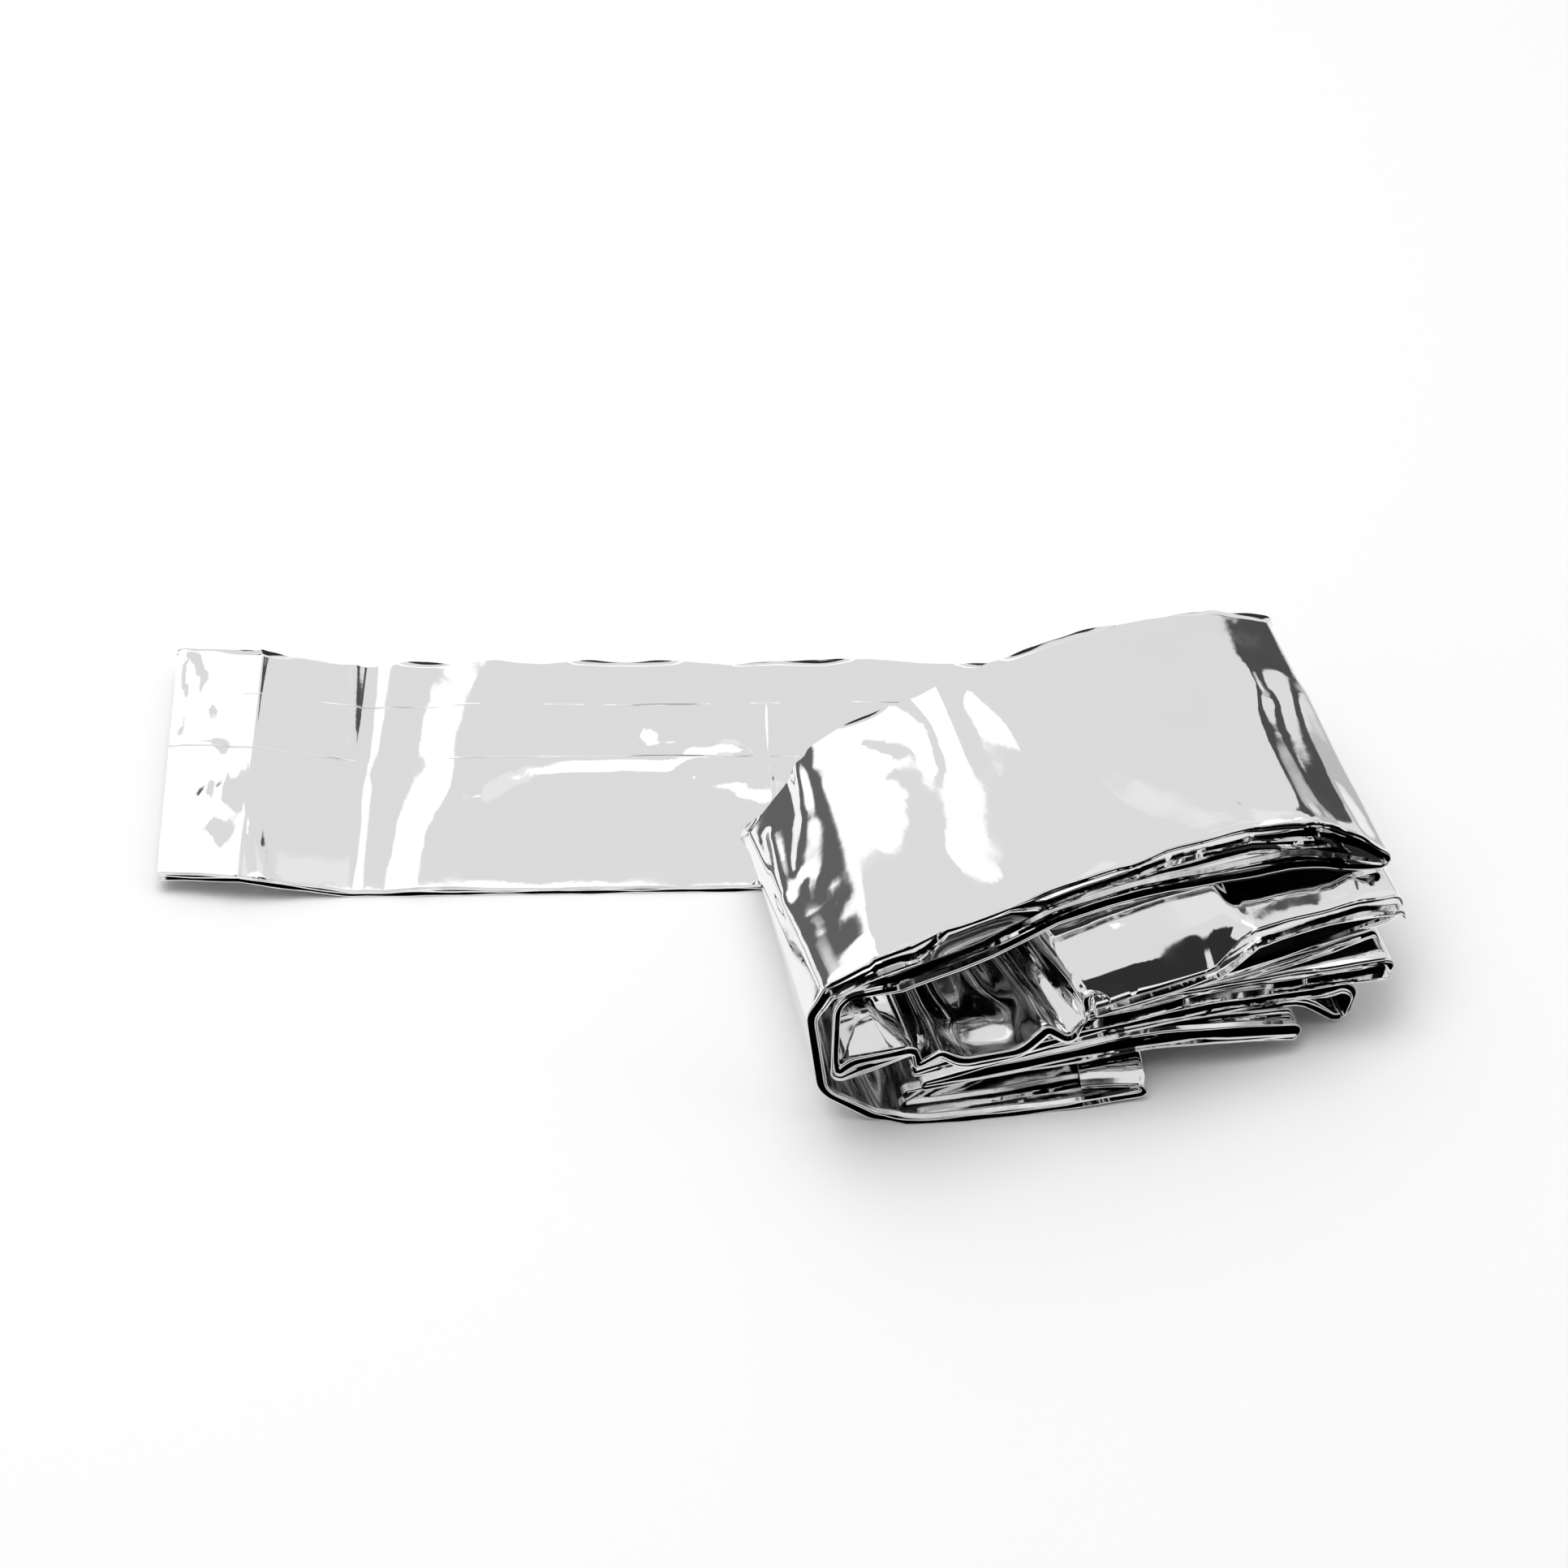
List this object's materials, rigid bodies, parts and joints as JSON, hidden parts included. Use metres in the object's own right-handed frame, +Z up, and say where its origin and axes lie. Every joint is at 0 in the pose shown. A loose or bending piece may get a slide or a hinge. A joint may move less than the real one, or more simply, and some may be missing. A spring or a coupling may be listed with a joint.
{
  "type": "emergency foil blanket",
  "caption": "Folded metallised-film rescue blanket, part unfolded: a loose strip lies out flat from a bundle of back-and-forth folds.",
  "frame": {"origin": "middle of the footprint, on the floor", "axes": "+X from the loose end towards the bundle's folded ends, along the loose strip; +Y from the near cut edges of the folded strip to the back; +Z up"},
  "size_m": [0.3753, 0.1911, 0.0597],
  "materials": {
    "metallised_film": "bright mirror-like metallised polyester film, creased and a little crinkled"
  },
  "bodies": {
    "root": {"foil_blanket": "metallised_film"}
  },
  "joints": []
}
